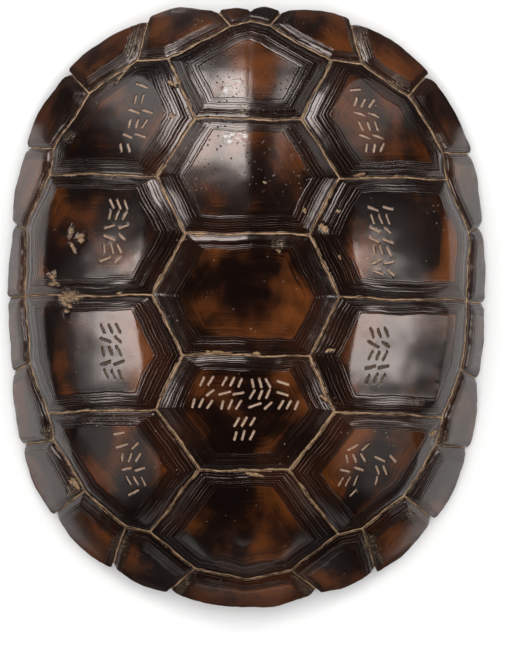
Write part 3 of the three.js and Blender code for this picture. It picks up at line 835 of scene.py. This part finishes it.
grime = [
    (-41.2, 96.3, 7.0, 4.2, 57), (-49.0, 83.0, 4.0, 2.2, 69), (41.4, 96.5, 6.3, 4.2, -54),
    (54.4, 82.8, 3.6, 2.4, -59), (-63.8, 61.1, 3.5, 2.6, -18), (67.9, 62.0, 3.9, 2.6, -31),
    (-75.0, 43.3, 3.0, 2.0, -6), (71.0, -47.4, 5.9, 3.4, -29), (-71.4, -46.8, 4.3, 3.0, 21),
    (-62.3, -69.1, 4.2, 2.6, 143), (61.4, -74.0, 6.0, 3.0, 38), (-45.5, -88.1, 5.0, 3.0, 55),
    (47.5, -88.1, 6.0, 3.2, -47), (-22.2, -101.1, 4.8, 2.6, 58), (22.3, -100.9, 4.7, 2.6, -51),
    (-13.1, 3.9, 2.2, 2.0, 1), (-10.0, -8.6, 2.2, 1.6, 1), (13.5, -8.3, 1.8, 1.6, 1),
    (11.1, 22.6, 2.2, 2.2, 1), (-6.5, 78.5, 4.6, 2.6, 28), (-4.8, 61.2, 4.4, 2.2, 20),
    (-2.5, 71.5, 2.6, 1.6, 22), (27.8, 27.9, 1.8, 1.6, -52), (-63.9, 3.0, 4.1, 3.0, -5),
    (-48.9, 46.9, 5.5, 1.2, 1), (61.5, -33.9, 2.8, 1.4, -7),
]


def wear_at(points, patches):
    """1 in the middle of a worn patch, 0 at its edge and -1 well away from it."""
    field = np.full(len(points), -1.0)
    for x, y, long, wide, degrees in patches:
        along, offset = heading(math.radians(degrees)), points - (x, y)
        far = np.hypot(offset @ along / long, offset @ leftward(along) / wide)
        field = np.maximum(field, 1 - far)
    return field


def scute_mesh(name, outline, loops, edge, flatness, strokes=()):
    """A horn plate: its ringed band, its plateau, its cut edges, and its plain side on the bone.
    Also says how much higher or lower than its dome the plateau lies, for strokes drawn on it."""
    skin = Skin()
    half_gap = seam_gap / 2
    on_keel = "vertebral" in name

    def face(points, rise, **marks):
        places, up = on_shell(points, rise)
        wear = {"chip": wear_at(points, chips), "grime": wear_at(points, grime)}
        return skin.add(places, outward=up, **wear, **marks)

    # A plateau is flatter than the dome below it: part of the way from the dome to a plane
    inner = wander(outline.loop(half_gap, 1, 1))
    middle = inner.mean(axis=0)
    inner = np.concatenate([middle + (inner - middle) * scale for scale in (0.3, 0.6, 0.8, 1)])
    level = np.column_stack([inner, np.ones(len(inner))])
    plane, *_ = np.linalg.lstsq(level, crown(*inner.T), rcond=None)

    def flattening(points):
        spread = wander(points)
        aside = np.abs(spread[:, 0])
        softer = np.exp(-((aside / keel_softness) ** 2))
        softer = softer - np.exp(-((aside / keel_width) ** keel_sharpness))
        flatter = spread @ plane[:2] + plane[2] - crown(*spread.T)
        flatter = np.clip(flatter, -most_flattening, most_flattening) * flatness
        return flatter + softer * keel_height * keel_softening * on_keel

    # The band rises from the seam to the plateau
    band = []
    for inward in np.linspace(0, 1, loops):
        points = outline.loop(half_gap, inward, 1)
        slope = slope_share * inward + (1 - slope_share) * smooth(inward * shoulder_steepness)
        rise = full_rise * slope + flattening(points) * smooth(inward)
        band.append(face(points, rise, ring=inward))
    for beyond in edge:
        points = outline.loop(half_gap, 1, 1, beyond)
        band.append(face(points, full_rise + flattening(points), ring=1 + beyond / ring_inward))
    for outer, inner in zip(band, band[1:]):
        skin.band(outer, inner)

    # The plateau is filled in between the strokes
    loop, ring_index = points[apart(points)], band[-1][apart(points)]
    filling, from_ring = plateau_points(loop, list(strokes), on_keel)
    flat = np.concatenate([loop, filling])
    sides = [(i, (i + 1) % len(loop)) for i in range(len(loop))]
    _, _, faces, origins, _, _ = delaunay_2d_cdt([tuple(p) for p in flat], sides, [], 1, 1e-7)
    past_rings = 1 + (from_ring + edge[-1]) / ring_inward
    filled = face(filling, full_rise + flattening(filling), ring=past_rings)
    index = np.concatenate([ring_index, filled])
    for a, b, c in faces:
        skin.faces.append(tuple(int(index[origins[v][0]]) for v in (a, b, c)))

    # The cut edge goes down to the bone at a seam, and to near the table at the shell's edge
    top, under = outline.loop(half_gap, 0, 1), outline.loop(half_gap, 0, 0)
    on_bone, up = on_shell(under, -horn_edge)
    rim = outline.on_rim[:, None]
    wall = [band[0]]
    for foot in (standing(top, horn_lift), standing(under, horn_lift), on_bone):
        wall.append(skin.add(np.where(rim, foot, on_bone), outward=up, ring=-1))
        skin.band(wall[-1], wall[-2])

    # The side that lies on the bone
    middle = loop.mean(axis=0)
    before = wall[-1]
    for scale in (0.8, 0.55, 0.28):
        inner = skin.add(on_shell(middle + (under - middle) * scale, -horn_edge)[0], ring=-1)
        skin.band(before, inner, faces_up=False)
        before = inner
    centre = skin.add(on_shell(middle[None], -horn_edge)[0], ring=-1)[0]
    skin.cap(before, centre, faces_up=False)
    return skin.made(name), flattening


def ring_tree():
    """Cuts the grooves between the growth ridges, chips the plate and makes its face uneven."""
    tree, start = geometry_tree(
        "growth_rings", Rings="Float", Depth="Float", Unevenness="Float", Seed="Float",
        Finish="Material",
    )
    seed, rings = start.also("Seed"), start.also("Rings")
    where = tree.add("GeometryNodeInputPosition")

    def drift(scale, shift, detail=1.0):
        inputs = {"Vector": where, "Scale": scale, "W": seed + shift, "Detail": detail}
        return tree.add("ShaderNodeTexNoise", {"noise_dimensions": "4D"}, inputs) - 0.5

    def by_ring(value, shift):
        inputs = {"W": value + shift, "Scale": 1.0, "Detail": 0.0}
        return tree.add("ShaderNodeTexNoise", {"noise_dimensions": "1D"}, inputs)

    ring, worn, soiled = kept(tree, "ring"), kept(tree, "chip"), kept(tree, "grime")
    count = (1.0 - ring) * rings
    free = (1.0 - ring).size().between(0.0, 0.12)
    phase = count + (by_ring(count * 0.9, seed * 7.0) - 0.5) * 0.9 * free
    part = tree.math("FRACT", phase + 1000.0)
    whole = tree.math("FLOOR", phase)
    groove = (part * 2.0 - 1.0).size().between(0.72, 0.98)
    strength = by_ring(whole * 5.37, seed * 3.0).between(0.34, 0.62) * 0.8 + 0.2
    fade = ring.between(0.0, 0.03) * (1.0 - ring.between(1.0, 1.06) * 0.93)
    cut = groove * strength * fade
    tread = (part * 1.25).least((1.0 - part) * 5.0) - 0.5
    terrace = tread * (strength * 0.6 + 0.4) * ring.between(0.0, 0.03)
    terrace = terrace * (1.0 - ring.between(0.98, 1.06))
    on_face = ring.between(0.8, 1.15)
    uneven = (drift(46.0, 3.0) + drift(150.0, 5.0) * 0.2 * on_face) * (on_face * 0.6 + 0.4)
    uneven = uneven * ring.between(0.0, 0.4) * start.also("Unevenness")
    ragged = drift(420.0, 13.0, 4.0) * 2.6 + drift(1500.0, 19.0, 2.0) * 1.2
    chip = (worn + ragged).between(0.05, 0.3) * worn.between(-0.75, -0.4)
    dirt = (soiled + drift(160.0, 23.0) * 1.2).between(-0.25, 0.45) * ring.between(-0.5, 0.0)
    crumbs = drift(1300.0, 17.0, 3.0) * dirt
    height = uneven + (terrace * 0.42 - cut * 0.4) * start.also("Depth")
    geometry = push_out(tree, start, height - chip * 0.00042 + crumbs * 0.0005)
    geometry = keep(tree, geometry, growth=phase, chip=chip, grime=dirt)
    end_tree(tree, geometry, start.also("Finish"))
    return tree.tree


def line_tree():
    """Sinks or raises a surface along lines drawn on it, with rounded ends and sides."""
    tree, start = geometry_tree(
        "relief_along_lines", Lines="Object", Width="Float", Height="Float", Finish="Material"
    )
    lines = tree.add("GeometryNodeObjectInfo", {}, {"Object": start.also("Lines")}, out="Geometry")
    edges = {"target_element": "EDGES"}
    near = tree.add("GeometryNodeProximity", edges, {0: lines}, out="Distance")
    share = near / (start.also("Width") * 0.5)
    shape = 1.0 - share.between(0.45, 1.0)
    geometry = keep(tree, start, cut=1.0 - share.between(0.8, 1.12))
    geometry = push_out(tree, geometry, shape * start.also("Height"))
    end_tree(tree, geometry, start.also("Finish"))
    return tree.tree


ring_nodes, line_nodes = ring_tree(), line_tree()


def lines_object(lines, rise):
    """Loose edges that lie on the shell, for a geometry tree to follow."""
    points = on_shell(np.concatenate(lines), rise)[0]
    mesh = bpy.data.meshes.new("drawn_lines")
    mesh.from_pydata(points.tolist(), [(i, i + 1) for i in range(0, len(points), 2)], [])
    return placed("drawn_lines", mesh)


def grown_horn(tree, where):
    """Dark glossy horn: amber clouds in the plateaus, near-black rings, grooves with pale lines of dust
    and painted highlight, pale cuts ringed with painted shade.
    """
    ring, growth, cut = tree.mark("ring"), tree.mark("growth"), tree.mark("cut")
    chip, dirt = tree.mark("chip"), tree.mark("grime")
    clouds = tree.noise(tree.stretched(where, (1.0, 0.8, 0.8)), 46, 3, 0.5, 0.25)
    across = tree.add("ShaderNodeSeparateXYZ", {}, {0: where}, out="X")
    aside, along, high = across.size(), across.also("Y"), across.also("Z")
    inputs = {"X": ring * 15.0, "Y": across * 50.0, "Z": along * 50.0}
    grown = tree.add("ShaderNodeCombineXYZ", {}, inputs)
    streaks = tree.noise(grown, 1.0, 4, 0.6, 0.1)
    fine = tree.noise(where, 900, 4, 0.65)
    specks = tree.noise(where, 2600, 2, 0.5)
    plateau = ring.between(0.92, 1.05)
    at_rim = 1.0 - high.between(0.006, 0.03)
    on_face = ring.between(-0.5, 0.0)
    on_band = (1.0 - plateau) * on_face
    near_edge = 1.0 - ring.between(1.25, 2.1)
    amber = clouds + (streaks - 0.5) * (near_edge * 0.2 + 0.05) + near_edge * 0.06
    amber = amber.between(0.47, 0.84)
    black, brown, glow = (0.0032, 0.001, 0.0005, 1), (0.024, 0.006, 0.0022, 1), (0.16, 0.043, 0.006, 1)
    colour = tree.blend((clouds * 0.7 + streaks * 0.3).between(0.4, 0.7), black, brown)
    colour = tree.blend(amber * (plateau * 0.75 + at_rim * 0.3 + 0.05), colour, glow)
    reddish = at_rim * (0.1 + 0.5 * clouds.between(0.35, 0.7))
    colour = tree.blend(reddish, colour, (0.04, 0.01, 0.004, 1))
    # Thin pale lines lie in the grooves: partly dust, partly painted highlight for the bright lines of
    # the rings
    line = (tree.math("FRACT", growth + 1000.0) * 2.0 - 1.0).size().between(0.82, 0.95)
    broken = tree.noise(where, 120, 3, 0.6).between(0.4, 0.66)
    dust_and_highlight_lines = line * (broken * 0.4 + 0.04) * on_band
    colour = tree.blend(on_band * 0.25, colour, (0.009, 0.0033, 0.002, 1))
    colour = tree.blend(dust_and_highlight_lines, colour, (0.13, 0.078, 0.055, 1))
    loose = fine * 0.45 + specks * 0.45 + line * 0.1 * on_band - plateau * 0.035
    crumbs = dirt * loose.between(0.5, 0.56)
    colour = tree.blend(dirt * (0.35 - plateau * 0.35), colour, (0.045, 0.03, 0.02, 1))
    colour = tree.blend(crumbs * 0.8, colour, (0.3, 0.21, 0.135, 1))
    flaking = tree.noise(tree.stretched(where, (0.7, 1.4, 1.0), (0, 0, 0.5)), 620, 3, 0.7)
    by_neck = along.between(0.055, 0.058) * (1.0 - aside.between(0.01, 0.02)) * plateau
    flakes = flaking.between(0.5, 0.54) * dirt.between(0.1, 0.5) * by_neck
    colour = tree.blend(flakes * 0.8, colour, (0.66, 0.64, 0.62, 1))
    # Crumbs of dry earth cling along the seams, and odd specks lie on the face
    lip_width = tree.noise(where, 150, 3, 0.6).between(0.4, 0.7) * 0.05 + 0.008
    lip = (1.0 - (ring / lip_width).between(0.6, 1.1)) * on_face
    lip = lip * tree.noise(where, 520, 3, 0.7).between(0.38, 0.54)
    colour = tree.blend(lip * 0.8, colour, (0.26, 0.17, 0.105, 1))
    spots = (1.0 - tree.from_dots(where, 330).between(0.04, 0.13)) * on_face
    spots = spots * tree.noise(where, 75, 2, 0.5).between(0.5, 0.66)
    colour = tree.blend(spots * 0.75, colour, (0.3, 0.21, 0.15, 1))
    # Small pits are scattered over the plates at the head
    pit = tree.from_dots(tree.stretched(where, (1.3, 1.0, 1.0), (0, 0, 0.6)), 420)
    by_head = along.between(0.035, 0.055) * (1.0 - aside.between(0.016, 0.026))
    pits = (1.0 - pit.between(0.1, 0.2)) * by_head * tree.noise(where, 60, 2, 0.5).between(0.36, 0.5)
    # The fill of the strokes is darker on the third pair of costal plates
    darkened = along.between(-0.042, -0.03) * (1.0 - along.between(0.004, 0.012))
    darkened = darkened * aside.between(0.03, 0.035)
    pale = tree.blend(fine.between(0.3, 0.75), (0.42, 0.3, 0.225, 1), (0.24, 0.155, 0.105, 1))
    pale = tree.blend(darkened * 0.85, pale, (0.045, 0.026, 0.014, 1))
    grit = (fine * 0.5 + specks * 0.5).between(0.42, 0.6)
    raw = tree.blend(grit, (0.34, 0.215, 0.115, 1), (0.08, 0.04, 0.02, 1))
    colour = tree.blend(pits * 0.9, colour, (0.006, 0.003, 0.002, 1))
    # Painted shade: a dark outline round each stroke, standing in for the shade on the walls of its cut
    colour = tree.blend(cut.between(0.35, 0.9), colour, (0.03, 0.015, 0.009, 1))
    colour = tree.blend(cut.between(0.6, 1.0), colour, pale)
    colour = tree.blend(chip.between(0.2, 0.8), colour, raw)
    worn = cut.most(chip)
    matte = worn.most(crumbs).most(dust_and_highlight_lines * 0.6).most(lip).most(pits).most(flakes)
    roughness = 0.15 + on_band * 0.03 + at_rim * 0.18 + fine * 0.05
    roughness = roughness + matte * (0.72 - roughness)
    scratches = tree.noise(tree.stretched(where, (1.0, 0.05, 1.0), (0, 0, 0.5)), 1500, 2, 0.6)
    height = fine * 0.000004 + scratches * 0.000005 - line * on_band * 0.00006 - pits * 0.0002
    return colour, roughness, height + matte * specks * 0.00012


horn_gloss = {"IOR": 1.55, "Specular Tint": (1, 0.84, 0.77, 1)}
horn_finish = material("dark_grown_horn", grown_horn, **horn_gloss)


def scute(name, outline, strokes, loops, edge, flatness, rings, depth):
    """One finished plate of horn in place of its CAD node."""
    steps = [(ring_nodes, {
        "Rings": float(rings), "Depth": depth * MM, "Unevenness": unevenness * MM,
        "Seed": round(random.uniform(0, 50), 3), "Finish": horn_finish,
    })]
    # No stroke runs over the edge of the plateau
    border = outline.loop(seam_gap / 2, 1, 1, edge[-1])
    border = border[apart(border)]
    sides = list(zip(border, np.roll(border, -1, 0)))
    strokes = [
        ends for ends in strokes
        if inside(ends, border).all() and nearest(ends, sides).min() > stroke_width
    ]
    mesh, flattening = scute_mesh(name + "_horn", outline, loops, edge, flatness, strokes)
    if strokes:
        drawn = lines_object(strokes, full_rise + flattening(np.concatenate(strokes)))
        steps.insert(0, (line_nodes, {
            "Lines": drawn, "Width": stroke_width * MM, "Height": -stroke_depth * MM,
            "Finish": horn_finish,
        }))
    mesh = shaped(mesh, *steps)
    if strokes:
        bpy.data.objects.remove(drawn)
    mesh.set_sharp_from_angle(angle=math.radians(horn_crease))
    piece(mesh, name)


big_plate = {
    "loops": 54, "edge": (0.12, 0.28, 0.5, 0.85), "flatness": 0.45, "rings": 7, "depth": 0.22,
}
middle_signs = inscription(
    *(((x, -0.248), (x, -0.322), 3) for x in (-0.177, -0.059, 0.059, 0.177)),
    ((0, -0.377), (0, -0.464), 3),
)
for i, outline in enumerate(vertebrals):
    strokes = middle_signs if i == 3 else ()
    scute(f"vertebral_scute_{i + 1}", outline, strokes, **big_plate)

# The eight costal scutes
# The big horn plates of the flanks, in four pairs, grown like the ones along the crest. Each
# carries a column of cut strokes, and the last right one has a short second column.
costal_signs = {
    "left": (
        [((-0.42, 0.72), (-0.495, 0.52), 6)],
        [((-0.53, 0.372), (-0.57, 0.118), 8)],
        [((-0.565, -0.04), (-0.545, -0.268), 7)],
        [((-0.495, -0.42), (-0.43, -0.655), 7)],
    ),
    "right": (
        [((0.465, 0.715), (0.54, 0.495), 7)],
        [((0.548, 0.362), (0.565, 0.118), 8)],
        [((0.56, -0.04), (0.53, -0.268), 7)],
        [((0.478, -0.42), (0.412, -0.645), 7), ((0.585, -0.5), (0.585, -0.572), 3)],
    ),
}
for side, plates_signs in costal_signs.items():
    for number, columns in enumerate(plates_signs, 1):
        name = f"{side}_costal_scute_{number}"
        scute(name, plates[name], inscription(*columns), **big_plate)

# The twenty marginal scutes, the nuchal and the supracaudal scute
# Small horn plates round the rim. Each wraps over the thin edge of the bone, swells a little past
# its neighbours and shows its rings along the seam in front and the seam towards the middle.
rim_plate = {"loops": 34, "edge": (0.1, 0.25), "flatness": 0.25, "rings": 5, "depth": 0.17}
for name, outline in plates.items():
    if "marginal" in name or "nuchal" in name or "supracaudal" in name:
        scute(name, outline, (), **rim_plate)

# The floor, the lights and the camera
# A plain white table, its near part shown in the horn's gloss. Panels seen in reflections alone
# make the glows, and an overhead light and two soft keys, not seen in them, light the rest.
near_length, near_width, near_shift, far_radius, floor_sides = 0.18, 0.48, (0, -0.015, 0), 4.0, 96
turns = np.linspace(0, 2 * math.pi, floor_sides, endpoint=False)
circle = np.column_stack([np.cos(turns), np.sin(turns), np.zeros(floor_sides)])
corners = np.arange(floor_sides)


def table_paint(tree, where):
    grain = tree.noise(where, 300, 2, 0.5)
    colour = tree.blend(grain, (0.84, 0.84, 0.835, 1), (0.86, 0.86, 0.86, 1))
    return colour, 0.8 + grain * 0.1, grain * 0.00002


table_finish = material("pale_table_paint", table_paint)


def stage_part(name, points, faces):
    mesh = bpy.data.meshes.new(name)
    mesh.from_pydata(points.tolist(), [], faces.tolist())
    mesh.materials.append(table_finish)
    made = placed(name, mesh)
    return made


table = circle * (near_width / 2, near_length / 2, 0) + near_shift
stage_part("pale_table", table, corners[None])
outer, after = corners + floor_sides, np.roll(corners, -1)
ring = np.column_stack([corners, outer, after + floor_sides, after])
far_floor = stage_part("pale_floor", np.concatenate([table, circle * far_radius]), ring)
far_floor.visible_glossy = False


def soft_light(name, at, size, power, towards=(0, 0, 0.03), tint=(0.94, 0.98, 1)):
    """A rectangular lamp at a place, turned towards another."""
    light = bpy.data.lights.new(name, "AREA")
    light.shape, light.size, light.size_y = "RECTANGLE", *size
    light.energy, light.color = power, tint
    lamp = placed(name, light)
    lamp.location = at
    lamp.rotation_euler = (Vector(towards) - Vector(at)).to_track_quat("-Z", "Y").to_euler()
    return lamp


for panel in (
    ("head_panel", (-0.26, 1.6, 0.55), (0.46, 2.1), 38, (-0.26, 1.007, -0.254)),
    ("head_edge", (0.15, 1.6, 0.45), (0.3, 0.9), 0.2, (0.15, 0, 0)),
    ("left_strip", (-1.41, -0.03, 0.72), (0.25, 0.76), 6.2),
    ("right_strip", (1.48, -0.03, 0.66), (0.28, 0.76), 6.0),
    ("left_shoulder", (-0.94, 1.16, 0.2), (0.45, 0.95), 2.9),
    ("right_shoulder", (1.0, 1.12, 0.2), (0.45, 0.95), 1.6),
    ("left_hip", (-1.24, -0.84, 0.42), (0.45, 0.6), 0.8),
    ("right_hip", (1.3, -0.8, 0.42), (0.45, 0.6), 0.7),
    ("right_low", (1.5, -0.05, 0.1), (0.17, 0.6), 0.8),
    ("tail_panel", (0, -1.6, -0.22), (1.2, 0.28), 0.9),
):
    soft_light(*panel).visible_diffuse = False
overhead = soft_light("wide_overhead", (0, -0.1, 2.6), (3.8, 3.6), 115, tint=(1, 1, 1))
overhead.visible_glossy = False
for name, x in (("left_key", -1.25), ("right_key", 1.25)):
    key = soft_light(name, (x, 1.1, 1.25), (0.5, 0.5), 11, tint=(1, 0.98, 0.96))
    key.visible_glossy = False

world = bpy.data.worlds.new("studio")
world.use_nodes = True
room = Tree(world.node_tree)
air = room.add("ShaderNodeBackground", {}, {"Color": (0.8, 0.82, 0.85, 1), "Strength": 0.05})
room.add("ShaderNodeOutputWorld", {}, {"Surface": air})
bpy.context.scene.world = world
bpy.context.scene.view_settings.view_transform = "Standard"

# The photo's size in pixels, the shell's middle and turn in it, and its scale at a height in metres
photo_width, photo_height, middle_column, middle_row, photo_turn = 512, 649, 246.5, 307, 0.65
metres_per_pixel, scale_height, camera_height = 0.3679 * MM, 0.012, 4.0
eye = bpy.data.cameras.new("overhead_camera")
eye.sensor_fit, eye.sensor_height, eye.clip_end = "VERTICAL", 36, 20
field = photo_height * metres_per_pixel
eye.lens = eye.sensor_height * (camera_height - scale_height) / field
camera = placed("overhead_camera", eye)
centre_x = (photo_width / 2 - middle_column) * metres_per_pixel
centre_y = (middle_row - photo_height / 2) * metres_per_pixel
roll = math.radians(photo_turn)
camera.location = (
    centre_x * math.cos(roll) - centre_y * math.sin(roll),
    centre_x * math.sin(roll) + centre_y * math.cos(roll) + plan_shift * MM,
    camera_height,
)
camera.rotation_euler = (0, 0, roll)
bpy.context.scene.camera = camera
